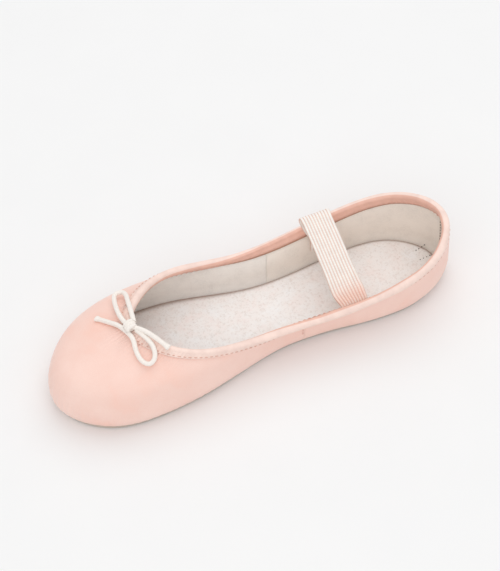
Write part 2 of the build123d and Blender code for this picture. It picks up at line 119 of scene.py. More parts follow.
BOW_CORD_DIA = 2.6
BOW_CORD_RIGHT = ((2.2, -67.7, 44.6), (-3.5, -66.5, 44.4), (-10.0, -65.2, 43.1), (-17.2, -63.6, 40.1),
                  (-22.4, -62.3, 37.4), (-26.2, -63.2, 35.7), (-27.0, -67.2, 34.9), (-22.4, -69.2, 36.4),
                  (-14.9, -71.0, 39.2), (-7.7, -72.0, 41.4), (-1.2, -71.9, 43.0), (4.0, -70.2, 44.0),
                  (8.6, -65.9, 44.9), (14.6, -61.4, 43.2), (20.8, -57.6, 40.4))
BOW_CORD_LEFT = ((6.6, -68.4, 43.4), (11.6, -65.9, 42.6), (17.6, -63.5, 40.2), (23.2, -64.7, 37.2),
                 (25.2, -68.7, 35.4), (21.8, -72.2, 36.2), (15.6, -72.8, 38.6), (9.8, -71.4, 41.8),
                 (3.8, -73.3, 42.3), (-2.4, -75.0, 40.8), (-8.4, -78.0, 37.9), (-14.6, -81.5, 35.4))
KNOT_CENTRE = (3.7, -70.6, 44.3)
KNOT_TURNS, KNOT_WIDTH, KNOT_RADII = 2.6, 4.4, (2.3, 1.55)
FRAY_LENGTH, FRAY_OVERLAP = 3.4, 1.4

# The camera, in degrees and millimetres
CAMERA_AZIMUTH, CAMERA_ELEVATION, CAMERA_ROLL = 66.1, 50.6, -1.3
CAMERA_TARGET, CAMERA_DISTANCE = (-27.5, 12.1, 0), 1249.6
CAMERA_LENS, SENSOR_WIDTH = 142.45, 36.0

# The stage, in metres and watts; the floor is a little below the sole, so the two don't coincide
FLOOR_HALF, FLOOR_Z = 3.0, -0.0002
WORLD_STRENGTH = 0.66
KEY_PLACE, KEY_POWER = (-0.6, 0.5, 1.5), 8
FILL_PLACE, FILL_POWER = (0.9, -0.5, 1.3), 7
LIGHT_SIZE = 1.8


class ClosedSpline:
    """A closed cubic spline; at(u) runs from the heel (0) by the left side to the toe (0.5)."""

    def __init__(self, points):
        here = np.array(points, float)
        ahead = np.roll(here, -1, axis=0)
        gap = np.linalg.norm(ahead - here, axis=1) ** 0.5
        count = len(here)
        slope = (ahead - here) / gap[:, None]
        matrix = np.zeros((count, count))
        for i in range(count):
            matrix[i, i - 1] += gap[i - 1]
            matrix[i, i] += 2 * (gap[i - 1] + gap[i])
            matrix[i, (i + 1) % count] += gap[i]
        bend = np.linalg.solve(matrix, 6 * (slope - np.roll(slope, 1, axis=0)))
        self.here, self.ahead, self.gap = here, ahead, gap
        self.bend, self.bend_ahead = bend, np.roll(bend, -1, axis=0)
        self.knots = np.concatenate([[0], np.cumsum(gap)])
        self.half = self.knots[count // 2]

    def at(self, u):
        u = np.asarray(u, float) % 1.0
        whole = self.knots[-1]
        t = np.where(u < 0.5, 2 * u * self.half, self.half + (2 * u - 1) * (whole - self.half))
        i = np.clip(np.searchsorted(self.knots, t, side="right") - 1, 0, len(self.gap) - 1)
        h = self.gap[i][..., None]
        b = t[..., None] - self.knots[i][..., None]
        a = h - b
        curved = (self.bend[i] * a**3 + self.bend_ahead[i] * b**3) / (6 * h)
        start = (self.here[i] / h - self.bend[i] * h / 6) * a
        end = (self.ahead[i] / h - self.bend_ahead[i] * h / 6) * b
        return curved + start + end

    def outward(self, u):
        along = self.at(np.asarray(u) + STEP) - self.at(np.asarray(u) - STEP)
        out = np.stack([-along[..., 1], along[..., 0], 0 * along[..., 0]], -1)
        return out / np.linalg.norm(out, axis=-1, keepdims=True)


def closed_loop(heel, left, toe, right):
    return ClosedSpline([heel, *left, toe, *right[::-1]])


def bulge_loop():
    sides = [(c, w, s * LENGTH) for c, w, s in zip(CENTRE_X[1:-1], BULGE_HALF_WIDTH, PLAN_SHARES)]
    left = [(c + w, y, BULGE_Z) for c, w, y in sides]
    right = [(c - w, y, BULGE_Z) for c, w, y in sides]
    heel, toe = (CENTRE_X[0], LENGTH / 2, BULGE_Z), (CENTRE_X[-1], -LENGTH / 2, BULGE_Z)
    return closed_loop(heel, left, toe, right)


def inset_loop(loop, insets, z):
    share = loop.knots[:-1] / loop.knots[-1]
    half = loop.half / loop.knots[-1]
    u = np.where(share <= half, share / half / 2, 0.5 + (share - half) / (1 - half) / 2)
    both = np.array([*insets, *insets[-2:0:-1]])
    points = loop.at(u) - loop.outward(u) * both[:, None]
    points[:, 2] = z
    return ClosedSpline(points)


def topline_loop():
    plan_y = [share * LENGTH for share in PLAN_SHARES]
    centre_x = CENTRE_X[1:-1]
    left, right = [], []
    for share, width, z in zip(TOPLINE_SHARES, TOPLINE_HALF_WIDTH, TOPLINE_Z[1:-1]):
        y = TOPLINE_HEEL_Y + (TOPLINE_THROAT_Y - TOPLINE_HEEL_Y) * share
        centre = np.interp(y, plan_y[::-1], centre_x[::-1])
        left.append((centre + width, y, z))
        right.append((centre - width, y, z))
    throat_x = np.interp(TOPLINE_THROAT_Y, plan_y[::-1], centre_x[::-1])
    heel = (CENTRE_X[0], TOPLINE_HEEL_Y, TOPLINE_Z[0])
    return closed_loop(heel, left, (throat_x, TOPLINE_THROAT_Y, TOPLINE_Z[-1]), right)


BULGE = bulge_loop()
FEATHER = inset_loop(BULGE, FEATHER_INSET, SOLE_TOP)
MARGIN = inset_loop(FEATHER, MARGIN_WIDTH, SOLE_TOP)
TOPLINE = topline_loop()


def below(u):
    half = np.minimum(u % 1.0, 1 - u % 1.0)
    share = 2 * half
    moved = half - COLUMN_SHIFT * share**2 * (1 - share) ** 1.5
    return np.where(u % 1.0 < 0.5, moved, 1 - moved)


def wall(u, v):
    low, high = BULGE.at(below(u)), TOPLINE.at(u)
    rise = (high - low) * [0, 0, 1]
    lean = (high - low) * [1, 1, 0]
    second = low + rise * UPRIGHT_PULL
    third = high - lean * LEAN_PULL - rise * RISE_PULL
    v = np.asarray(v)[..., None]
    return (1 - v) ** 3 * low + 3 * (1 - v) ** 2 * v * second + 3 * (1 - v) * v**2 * third + v**3 * high


def wall_outward(u, v):
    along = wall(u + STEP, v) - wall(u - STEP, v)
    up = wall(u, v + STEP) - wall(u, v - STEP)
    out = np.cross(up, along)
    return out / np.linalg.norm(out, axis=-1, keepdims=True)


def drop_to_v(u, drop):
    shares = np.linspace(1, 0, 81)
    points = wall(u[:, None], np.tile(shares, (len(u), 1)))
    steps = np.linalg.norm(np.diff(points, axis=1), axis=2)
    dropped = np.concatenate([np.zeros((len(u), 1)), np.cumsum(steps, axis=1)], axis=1)
    drop = np.broadcast_to(drop, (len(u),))
    return np.array([np.interp(d, row, shares) for d, row in zip(drop, dropped)])


def from_topline(u, drop, depth):
    """Points a distance down from the topline, and a depth in from the upper's outside."""
    u = np.atleast_1d(u)
    v = drop_to_v(u, drop)
    return wall(u, v) - wall_outward(u, v) * np.broadcast_to(depth, (len(u),))[:, None]


def side_points(ys, drop, depth, side):
    u = np.linspace(0.1, 0.4, 160) * side
    line = from_topline(u, drop, depth)[::-1]
    return np.stack([np.interp(ys, line[:, 1], line[:, axis]) for axis in range(3)], -1)


def upper_rows(u, depth, top_drop, rows_wanted):
    """Rows of points at one depth, from the margin's inner edge round the feather to the top."""
    low = below(u)
    feather, bulge, margin = FEATHER.at(low), BULGE.at(low), MARGIN.at(low)
    inward = BULGE.outward(low) * -depth
    rows = []
    for share in np.linspace(1, 0, 10, endpoint=False):
        rows.append(feather + (margin - feather) * share + inward + [0, 0, depth])
    for turn in np.radians(np.linspace(0, 90, 16, endpoint=False)):
        point = feather + (bulge - feather) * [np.sin(turn), np.sin(turn), 1 - np.cos(turn)]
        rows.append(point + inward + [0, 0, depth * np.cos(turn)])
    top = drop_to_v(u, top_drop)
    for share in np.linspace(0, 1, 48):
        rows.append(wall(u, top * share) - wall_outward(u, top * share) * depth)
    return evenly_spaced(np.array(rows), rows_wanted)


def evenly_spaced(grid, count):
    steps = np.linalg.norm(np.diff(grid, axis=0), axis=2)
    run = np.concatenate([np.zeros((1, grid.shape[1])), np.cumsum(steps, axis=0)])
    spaced = np.empty((count, grid.shape[1], 3))
    for column in range(grid.shape[1]):
        wanted = np.linspace(0, run[-1, column], count)
        for axis in range(3):
            spaced[:, column, axis] = np.interp(wanted, run[:, column], grid[:, column, axis])
    return spaced


# ---------------------------------------------------------------- mesh helpers
def grid_normals(grid, closed):
    if closed:
        along = np.roll(grid, -1, axis=1) - np.roll(grid, 1, axis=1)
    else:
        along = np.gradient(grid, axis=1)
    across = np.gradient(grid, axis=0)
    out = np.cross(across, along)
    return out / np.maximum(np.linalg.norm(out, axis=2, keepdims=True), 1e-9)


def soft_noise(u, v, waves, seed, size):
    """A smooth sum of sine waves over two coordinates, the same each run."""
    r = np.random.default_rng(seed)
    total = np.zeros(np.broadcast(u, v).shape)
    for _ in range(waves):
        a, b, phase = r.normal(0, size), r.normal(0, size), r.uniform(0, 2 * np.pi)
        total += np.sin(a * u + b * v + phase)
    return total / math.sqrt(waves)


def add_object(name, data):
    thing = bpy.data.objects.new(name, data)
    bpy.context.scene.collection.objects.link(thing)
    return thing


def new_mesh(name, verts, faces, material, cloth=None):
    mesh = bpy.data.meshes.new(name)
    mesh.from_pydata((np.asarray(verts) * MM).tolist(), [], [tuple(map(int, f)) for f in faces])
    mesh.polygons.foreach_set("use_smooth", [True] * len(mesh.polygons))
    if cloth is not None:
        layer = mesh.attributes.new("cloth", "FLOAT_VECTOR", "POINT")
        layer.data.foreach_set("vector", np.asarray(cloth, float).ravel())
    mesh.validate()
    piece = add_object(name, mesh)
    mesh.materials.append(material)
    return piece


def grid_faces(rows, columns, closed, offset=0, flip=False):
    r = np.arange(rows - 1)[:, None]
    c = np.arange(columns if closed else columns - 1)[None, :]
    n = (c + 1) % columns
    a, b = r * columns + c, r * columns + n
    d, e = (r + 1) * columns + c, (r + 1) * columns + n
    order = (a, d, e, b) if flip else (a, b, e, d)
    return np.stack([np.broadcast_to(x, a.shape) for x in order], -1).reshape(-1, 4) + offset


def slab_mesh(outer, inner, closed):
    """A closed skin between two grids; returns vertices, faces and flat cloth coordinates."""
    rows, columns = outer.shape[:2]
    count = rows * columns
    faces = [grid_faces(rows, columns, closed), grid_faces(rows, columns, closed, count, flip=True)]
    spans = columns if closed else columns - 1
    for c in range(spans):
        n = (c + 1) % columns
        faces.append([[n, c, count + c, count + n]])
        last = (rows - 1) * columns
        faces.append([[last + c, last + n, count + last + n, count + last + c]])
    if not closed:
        for r in range(rows - 1):
            a, b = r * columns, (r + 1) * columns
            faces.append([[a, b, count + b, count + a]])
            a, b = a + columns - 1, b + columns - 1
            faces.append([[b, a, count + a, count + b]])
    cloth = np.concatenate([cloth_grid(outer).reshape(-1, 3)] * 2)
    return np.concatenate([outer.reshape(-1, 3), inner.reshape(-1, 3)]), np.concatenate(faces), cloth


def cloth_grid(grid):
    """How far each point is along and up the sheet, in millimetres."""
    along = np.linalg.norm(np.diff(grid, axis=1), axis=2).mean(axis=0)
    up = np.linalg.norm(np.diff(grid, axis=0), axis=2)
    cloth = np.zeros(grid.shape)
    cloth[..., 0] = np.concatenate([[0], np.cumsum(along)])[None, :]
    cloth[1:, :, 1] = np.cumsum(up, axis=0)
    return cloth


def tube_faces(faces, first, rings, around):
    """The skin and end caps of a tube whose rings follow each other from one vertex on."""
    for ring in range(rings - 1):
        for k in range(around):
            n = (k + 1) % around
            a, b = first + ring * around + k, first + ring * around + n
            faces.append((a, b, b + around, a + around))
    faces.append(tuple(first + k for k in range(around))[::-1])
    faces.append(tuple(first + (rings - 1) * around + k for k in range(around)))


def fix_normals(piece, weld=0.0):
    """Turns the faces outward, once points within the weld distance (metres) are merged."""
    work = bmesh.new()
    work.from_mesh(piece.data)
    if weld:
        bmesh.ops.remove_doubles(work, verts=work.verts, dist=weld)
    bmesh.ops.recalc_face_normals(work, faces=work.faces)
    work.to_mesh(piece.data)
    work.free()
    return piece


def bend_over_arch(piece):
    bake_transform(piece)


# ---------------------------------------------------------------- materials
class Nodes:
    """Short calls for building one procedural material."""

    def __init__(self, name, base, roughness, sheen=0.0):
        self.material = bpy.data.materials.new(name)
        self.material.use_nodes = True
        self.tree = self.material.node_tree
        self.shader = self.tree.nodes["Principled BSDF"]
        self.shader.inputs["Base Color"].default_value = (*base, 1)
        self.shader.inputs["Roughness"].default_value = roughness
        self.shader.inputs["Sheen Weight"].default_value = sheen
        self.shader.inputs["Sheen Roughness"].default_value = 0.4
        self.shader.inputs["Specular IOR Level"].default_value = 0.35

    def link(self, a, b):
        self.tree.links.new(a, b)

    def add(self, kind, inputs=None, **settings):
        """A node; each of its inputs gets a number, a colour or the socket that feeds it."""
        node = self.tree.nodes.new(kind)
        for key, value in settings.items():
            setattr(node, key, value)
        for key, value in (inputs or {}).items():
            if isinstance(value, (int, float)):
                node.inputs[key].default_value = value
            elif isinstance(value, tuple):
                node.inputs[key].default_value = (*value, 1)
            else:
                self.link(value, node.inputs[key])
        return node

    def place(self, scale=1000.0):
        """Object coordinates, in millimetres unless another scale is given."""
        mapping = self.add("ShaderNodeMapping", {"Vector": self.add("ShaderNodeTexCoord").outputs["Object"]})
        mapping.inputs["Scale"].default_value = (scale,) * 3
        return mapping.outputs["Vector"]

    def cloth(self):
        return self.add("ShaderNodeAttribute", attribute_name="cloth").outputs["Vector"]

    def cloth_parts(self):
        return self.add("ShaderNodeSeparateXYZ", {0: self.cloth()}).outputs

    def noise(self, vector, scale, detail=3.0, rough=0.55):
        inputs = {"Vector": vector, "Scale": scale, "Detail": detail, "Roughness": rough}
        return self.add("ShaderNodeTexNoise", inputs).outputs["Fac"]

    def voronoi(self, vector, scale):
        inputs = {"Vector": vector, "Scale": scale}
        return self.add("ShaderNodeTexVoronoi", inputs, feature="DISTANCE_TO_EDGE").outputs["Distance"]

    def wave(self, vector, direction, scale, distort):
        inputs = {"Vector": vector, "Scale": scale, "Distortion": distort}
        node = self.add("ShaderNodeTexWave", inputs, wave_type="BANDS", bands_direction=direction)
        return node.outputs["Fac"]

    def math(self, operation, a, b):
        return self.add("ShaderNodeMath", {0: a, 1: b}, operation=operation).outputs["Value"]

    def ramp(self, factor, stops):
        node = self.add("ShaderNodeValToRGB", {"Fac": factor})
        while len(node.color_ramp.elements) < len(stops):
            node.color_ramp.elements.new(0.5)
        for element, (place, colour) in zip(node.color_ramp.elements, stops):
            element.position = place
            element.color = (*colour, 1)
        return node.outputs["Color"]

    def mix(self, factor, a, b, blend="MIX"):
        inputs = {0: factor, 6: a, 7: b}
        return self.add("ShaderNodeMix", inputs, data_type="RGBA", blend_type=blend).outputs[2]

    def colour(self, socket):
        self.link(socket, self.shader.inputs["Base Color"])

    def bump(self, height, strength, distance):
        node = self.add("ShaderNodeBump", {"Height": height, "Strength": strength, "Distance": distance})
        self.link(node.outputs["Normal"], self.shader.inputs["Normal"])

    def rough(self, factor, low, high):
        node = self.add("ShaderNodeMapRange", {"Value": factor, "To Min": low, "To Max": high})
        self.link(node.outputs["Result"], self.shader.inputs["Roughness"])


def shade(colour, factor):
    return tuple(min(1.0, c * factor) for c in colour)


def leather_material(name, base):
    m = Nodes(name, base, 0.45, sheen=0.15)
    where = m.place()
    grain = m.math("ADD", m.voronoi(where, 1.5), m.math("MULTIPLY", m.noise(where, 3.0, 4), 0.6))
    cloudy = m.noise(where, 0.035, 3)
    warm = (min(1, base[0] * 1.01), base[1] * 0.93, base[2] * 0.90)
    pale = (min(1, base[0] * 1.03), min(1, base[1] * 1.06), min(1, base[2] * 1.07))
    tint = m.ramp(cloudy, [(0.32, warm), (0.5, base), (0.68, pale)])
    fine = m.ramp(grain, [(0.15, shade(base, 0.93)), (0.5, (1, 1, 1))])
    m.colour(m.mix(0.22, tint, m.mix(1.0, tint, fine, "MULTIPLY")))
    m.bump(grain, 0.10, 0.0003)
    m.rough(m.noise(where, 0.25, 3), 0.36, 0.52)
    return m.material


def binding_material(base):
    """The binding's leather, with painted shade: darker and redder on the inner flap, and a dark brown
    painted shadow line along the inner flap's edge.
    """
    m = Nodes("leather_binding", base, 0.5, sheen=0.15)
    where = m.place()
    _, inner_flap_shade, edge_shade_mask = m.cloth_parts()
    grain = m.math("ADD", m.voronoi(where, 1.6), m.math("MULTIPLY", m.noise(where, 3.0, 4), 0.6))
    patches = m.ramp(m.noise(where, 0.18, 4), [(0.35, shade(base, 0.94)), (0.65, shade(base, 1.05))])
    # painted shade: the inner flap, which faces into the slipper, is multiplied darker and redder
    inner = m.mix(1.0, patches, (0.90, 0.70, 0.63), "MULTIPLY")
    lined = m.mix(inner_flap_shade, patches, inner)
    # painted shadow: a dark brown line along the inner flap's lower edge, where the binding's edge casts
    # shade
    m.colour(m.mix(m.math("MULTIPLY", edge_shade_mask, 0.9), lined, (0.36, 0.17, 0.10)))
    m.bump(grain, 0.12, 0.0003)
    m.rough(m.noise(where, 0.3, 3), 0.42, 0.58)
    return m.material


def suede_material():
    base = (0.60, 0.52, 0.45)
    m = Nodes("suede", base, 0.95, sheen=0.5)
    where = m.place()
    nap = m.noise(where, 2.2, 6, 0.7)
    patches = m.noise(where, 0.05, 4)
    m.colour(m.mix(0.5, m.ramp(patches, [(0.3, shade(base, 0.85)), (0.7, shade(base, 1.1))]),
                   m.ramp(nap, [(0.3, shade(base, 0.75)), (0.7, shade(base, 1.15))])))
    m.bump(nap, 0.5, 0.0004)
    return m.material


def woven_material(name, base, pitch, mottled):
    """Plain-woven cloth: two crossed thread sets on the cloth's own coordinates."""
    m = Nodes(name, base, 0.9, sheen=0.2)
    cloth = m.cloth()
    turns = 0.314 / pitch
    warp = m.wave(cloth, "X", turns, 0.6)
    weft = m.wave(cloth, "Y", turns, 0.6)
    weave = m.math("MAXIMUM", warp, weft)
    where = m.place()
    blotch = m.noise(where, 0.12, 5, 0.65)
    fluff = m.noise(where, 1.1, 5, 0.7)
    tint = m.ramp(blotch, [(0.3, shade(base, 1 - mottled)), (0.5, base), (0.7, shade(base, 1 + mottled / 2))])
    threads = m.ramp(weave, [(0.0, shade(base, 0.86)), (0.7, (1, 1, 1))])
    spotted = m.mix(m.ramp(fluff, [(0.45, (0, 0, 0)), (0.75, (1, 1, 1))]), tint, shade(base, 1.06))
    m.colour(m.mix(0.35, spotted, m.mix(1.0, spotted, threads, "MULTIPLY")))
    m.bump(m.math("ADD", weave, m.math("MULTIPLY", fluff, 0.8)), 0.35, 0.00025)
    return m.material


def sock_material():
    """Napped off-white sock cloth, speckled, with a dark brown painted shadow line along its edge, in the gap
    by the lining.
    """
    base = (0.97, 0.925, 0.90)
    m = Nodes("sock_cloth", base, 0.92, sheen=0.3)
    where = m.place()
    _, _, edge_shade_mask = m.cloth_parts()
    weave = m.math("MAXIMUM", m.wave(where, "X", 0.45, 1.5), m.wave(where, "Y", 0.45, 1.5))
    blotch = m.noise(where, 0.10, 5, 0.65)
    fluff = m.noise(where, 0.75, 6, 0.75)
    tint = m.ramp(blotch, [(0.3, (0.97, 0.88, 0.85)), (0.5, base), (0.7, (0.98, 0.96, 0.95))])
    specks = m.ramp(fluff, [(0.36, (0.82, 0.77, 0.74)), (0.50, (1, 1, 1)), (0.66, (1.0, 0.99, 0.98))])
    threads = m.ramp(weave, [(0.1, (0.90, 0.89, 0.88)), (0.6, (1, 1, 1))])
    cloth = m.mix(1.0, m.mix(0.75, tint, m.mix(1.0, tint, specks, "MULTIPLY")), threads, "MULTIPLY")
    # painted shadow: the insole's edge is darkened to dark brown, standing in for the shade in the gap
    # against the lining
    m.colour(m.mix(m.math("MULTIPLY", edge_shade_mask, 0.85), cloth, (0.26, 0.14, 0.095)))
    m.bump(m.math("ADD", fluff, m.math("MULTIPLY", weave, 0.35)), 0.45, 0.0004)
    return m.material


def elastic_material():
    """Ribbed elastic with painted shade: the cloth coordinates are (mm along, ribs across, how near the sewn
    end, which sets a painted shade there).
    """
    base = (0.98, 0.915, 0.87)
    m = Nodes("elastic_ribbed", base, 0.8, sheen=0.35)
    along, ribs, end_shade_mask = m.cloth_parts()
    rib = m.math("ABSOLUTE", m.math("SINE", m.math("MULTIPLY", ribs, math.pi), 0), 0)
    pick = m.math("SINE", m.math("MULTIPLY", along, 2 * math.pi / 0.8), 0)
    where = m.place()
    tint = m.ramp(m.noise(where, 0.25, 4), [(0.3, shade(base, 0.95)), (0.7, shade(base, 1.03))])
    # painted shade: the grooves between the ribs are darker pink, as if in shade
    groove_shade = m.ramp(rib, [(0.0, (0.80, 0.52, 0.43)), (0.30, (0.93, 0.76, 0.68)), (0.55, (1, 1, 1))])
    striped = m.mix(0.85, tint, m.mix(1.0, tint, groove_shade, "MULTIPLY"))
    # painted shade: near its sewn end the near half is multiplied darker pink, where it bends down into the
    # slipper away from the light
    end_shade_colour = m.mix(1.0, striped, (0.93, 0.66, 0.58), "MULTIPLY")
    m.colour(m.mix(m.math("MULTIPLY", end_shade_mask, 0.8), striped, end_shade_colour))
    m.bump(m.math("ADD", rib, m.math("MULTIPLY", pick, 0.12)), 0.45, 0.0003)
    return m.material


def cord_material():
    base = (0.99, 0.925, 0.865)
    m = Nodes("cord_cotton", base, 0.85, sheen=0.3)
    where = m.place()
    twist = m.noise(where, 2.5, 4, 0.6)
    m.colour(m.ramp(twist, [(0.3, shade(base, 0.9)), (0.55, base), (0.8, shade(base, 1.05))]))
    m.bump(twist, 0.4, 0.0003)
    return m.material


def thread_material(name, base):
    m = Nodes(name, base, 0.6, sheen=0.2)
    twist = m.noise(m.place(), 4.0, 3)
    m.colour(m.ramp(twist, [(0.3, shade(base, 0.8)), (0.7, shade(base, 1.1))]))
    m.bump(twist, 0.3, 0.0001)
    return m.material


LEATHER_COLOUR = (0.975, 0.690, 0.605)
MATERIALS = {
    "leather": leather_material("leather_upper", LEATHER_COLOUR),
    "binding": binding_material((0.975, 0.745, 0.665)),
    "suede": suede_material(),
    "lining": woven_material("lining_cotton", (0.955, 0.90, 0.845), 0.55, 0.08),
    "lining_rear": woven_material("lining_cotton_rear", (0.96, 0.885, 0.81), 0.55, 0.07),
    "sock": sock_material(),
    "felt": woven_material("felt", (0.70, 0.66, 0.60), 1.2, 0.15),
    "elastic": elastic_material(),
    "tape": woven_material("stay_tape", (0.74, 0.63, 0.55), 0.5, 0.06),
    "cord": cord_material(),
    "thread": thread_material("thread_pink", (0.78, 0.47, 0.38)),
    "thread_dark": thread_material("thread_dark", (0.20, 0.17, 0.15)),
}


# ---------------------------------------------------------------- camera, light and floor
def make_camera():
    azimuth, elevation = math.radians(CAMERA_AZIMUTH), math.radians(CAMERA_ELEVATION)
    roll = math.radians(CAMERA_ROLL)
    distance, target = CAMERA_DISTANCE * MM, Vector(CAMERA_TARGET) * MM
    back = Vector((math.sin(azimuth) * math.cos(elevation), -math.cos(azimuth) * math.cos(elevation),
                   math.sin(elevation)))
    right = (-back).cross(Vector((0, 0, 1))).normalized()
    up = right.cross(-back)
    turned = right * math.cos(roll) + up * math.sin(roll)
    upright = up * math.cos(roll) - right * math.sin(roll)
    matrix = Matrix((turned, upright, back)).transposed().to_4x4()
    matrix.translation = target + back * distance
    data = bpy.data.cameras.new("camera")
    data.lens, data.sensor_width, data.clip_start = CAMERA_LENS, SENSOR_WIDTH, 0.05
    camera = add_object("camera", data)
    camera.matrix_world = matrix
    bpy.context.scene.camera = camera


def area_light(name, place, power):
    """A round light that faces the slipper."""
    data = bpy.data.lights.new(name, "AREA")
    data.shape, data.size, data.energy = "DISK", LIGHT_SIZE, power
    light = add_object(name, data)
    light.location = place
    light.rotation_euler = (-Vector(place)).to_track_quat("-Z", "Y").to_euler()


def make_stage():
    verts = [(x * FLOOR_HALF, y * FLOOR_HALF, FLOOR_Z) for x, y in ((-1, -1), (1, -1), (1, 1), (-1, 1))]
    mesh = bpy.data.meshes.new("floor")
    mesh.from_pydata(verts, [], [(0, 1, 2, 3)])
    floor = add_object("floor", mesh)
    m = Nodes("floor_paper", (0.92, 0.92, 0.92), 0.95)
    tones = [(0.3, (0.915,) * 3), (0.7, (0.925,) * 3)]
    m.colour(m.ramp(m.noise(m.place(20.0), 1.0, 2), tones))
    mesh.materials.append(m.material)
    world = bpy.data.worlds.new("studio")
    world.use_nodes = True
    world.node_tree.nodes["Background"].inputs[0].default_value = (1.0, 1.0, 1.0, 1)
    world.node_tree.nodes["Background"].inputs[1].default_value = WORLD_STRENGTH
    bpy.context.scene.world = world
    bpy.context.scene.view_settings.view_transform = "Standard"
    area_light("key", KEY_PLACE, KEY_POWER)
    area_light("fill", FILL_PLACE, FILL_POWER)


# ---------------------------------------------------------------- the bow
def cord_curve(name, route, node):
    data = bpy.data.curves.new(name, "CURVE")
    data.dimensions, data.resolution_u = "3D", 8
    data.bevel_depth, data.bevel_resolution = BOW_CORD_DIA / 2 * MM, 5
    data.use_fill_caps = True
    spline = data.splines.new("NURBS")
    spline.points.add(len(route) - 1)
    for point, place in zip(spline.points, route):
        point.co = (*(c * MM for c in place), 1)
    spline.order_u = 3
    spline.use_endpoint_u = True
    piece = add_object(name, data)
    data.materials.append(MATERIALS["cord"])
    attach(piece, "forepart")
    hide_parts(node)
    return piece


def curve_length(piece):
    """The length of a curve's centreline, in metres, as Blender draws it."""
    data = piece.data.copy()
    data.bevel_depth = 0
    probe = add_object("probe", data)
    mesh = bpy.data.meshes.new_from_object(probe)
    points = [v.co.copy() for v in mesh.vertices]
    bpy.data.objects.remove(probe)
    bpy.data.curves.remove(data)
    bpy.data.meshes.remove(mesh)
    return sum((b - a).length for a, b in zip(points, points[1:]))


def frayed_end(name, tip, before):
    """The cut end of a cord: the same thickness opening into a small soft brush."""
    tip, before = Vector(tip), Vector(before)
    axis = (tip - before).normalized()
    frame_turn = axis.to_track_quat("Z", "Y").to_matrix()
    around, rings = 40, 12
    verts, faces = [], []
    for ring in range(rings + 1):
        share = ring / rings
        radius = BOW_CORD_DIA / 2 * (1.02 + 0.22 * share**1.5 - 0.55 * max(0, share - 0.85) / 0.15)
        for k in range(around):
            angle = 2 * math.pi * k / around
            strand = 1 + 0.07 * share * math.sin(9 * angle + 2 * share)
            local = Vector((math.cos(angle) * radius * strand * (1 + 0.25 * share),
                            math.sin(angle) * radius * strand * (1 - 0.25 * share),
                            share * FRAY_LENGTH - FRAY_OVERLAP))
            verts.append(tuple(tip + frame_turn @ local))
    tube_faces(faces, 0, rings + 1, around)
    piece = new_mesh(name, verts, faces, MATERIALS["cord"])
    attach(piece, "forepart")
    return piece


def knot_piece():
    """A wrapped knot: turns of cord round the crossing, pressed together."""
    per_turn, around = 36, 14
    tilt = Matrix.Rotation(math.radians(20), 3, "X")
    centre = Vector(KNOT_CENTRE)
    verts, faces = [], []
    count = int(KNOT_TURNS * per_turn)
    line = []
    for i in range(count + 1):
        angle = 2 * math.pi * i / per_turn
        slide = (i / count - 0.5) * KNOT_WIDTH
        local = Vector((slide, KNOT_RADII[0] * math.cos(angle), KNOT_RADII[1] * math.sin(angle)))
        line.append(centre + tilt @ local)
    for i, place in enumerate(line):
        ahead = line[min(i + 1, count)] - line[max(i - 1, 0)]
        turn = ahead.to_track_quat("Z", "Y").to_matrix()
        radius = BOW_CORD_DIA / 2 * 0.92
        if i in (0, count):
            radius *= 0.5
        for k in range(around):
            a = 2 * math.pi * k / around
            verts.append(tuple(place + turn @ Vector((math.cos(a) * radius, math.sin(a) * radius, 0))))
    tube_faces(faces, 0, count + 1, around)
    piece = fix_normals(new_mesh("bow_knot_wrap", verts, faces, MATERIALS["cord"]))
    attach(piece, "forepart")
    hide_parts("bow_knot")
    return piece


def make_bow():
    knot = knot_piece()
    cords = (("bow_cord_right", BOW_CORD_RIGHT, []), ("bow_cord_left", BOW_CORD_LEFT, [knot]))
    for node, route, extra in cords:
        piece = cord_curve(node + "_soft", route, node)
        length = curve_length(piece)
        brush = frayed_end(node + "_end", route[-1], route[-2])


# ---------------------------------------------------------------- the upper
def gathers(u, drop):
    """Small puckers that the drawstring draws up round the throat, deepest at the topline."""
    near_throat = np.exp(-((u - 0.5) / 0.085) ** 2)
    fold = np.sin(2 * np.pi * u * 230 + 1.7 * np.sin(2 * np.pi * u * 37))
    return near_throat * fold * np.exp(-((drop - 5.0) / 5.5) ** 2)


def leather_grid(u, depth, rows):
    grid = upper_rows(u, depth, EDGE_DROP, rows)
    out = -grid_normals(grid, closed=False)
    height = np.linspace(0, 1, rows)[:, None]
    toe = np.exp(-((u[None, :] - 0.5) / 0.13) ** 2)
    heel = np.exp(-(np.minimum(u, 1 - u)[None, :] / 0.05) ** 2)
    low = np.exp(-((height - 0.26) / 0.09) ** 2)
    pleats = np.sin(2 * np.pi * u[None, :] * 150 + 2 * np.sin(2 * np.pi * u[None, :] * 23))
    ripple = RIPPLE * pleats * low * (toe + 0.7 * heel)
    dents = DENT * soft_noise(u[None, :] * 40, height * 5, 10, 3, 0.8) * np.sin(np.pi * height)
    drop = (1 - height) * 40 + EDGE_DROP
    puckers = PUCKER * gathers(u[None, :], drop) * (height > 0.3)
    return grid + out * (ripple + dents + puckers)[..., None]


def make_leather():
    pieces = (("vamp", VAMP_RANGE, 420),
              ("quarter_left", QUARTER_LEFT_RANGE, 160),
              ("quarter_right", QUARTER_RIGHT_RANGE, 160))
    rows = 72
    for node, ends, columns in pieces:
        u = np.linspace(*ends, columns)
        outer = leather_grid(u, 0, rows)
        inner = upper_rows(u, LEATHER, EDGE_DROP, rows)
        verts, faces, cloth = slab_mesh(outer, inner, closed=False)
        piece = fix_normals(new_mesh(node + "_leather", verts, faces, MATERIALS["leather"], cloth))
        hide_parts(node)
        bend_over_arch(piece)


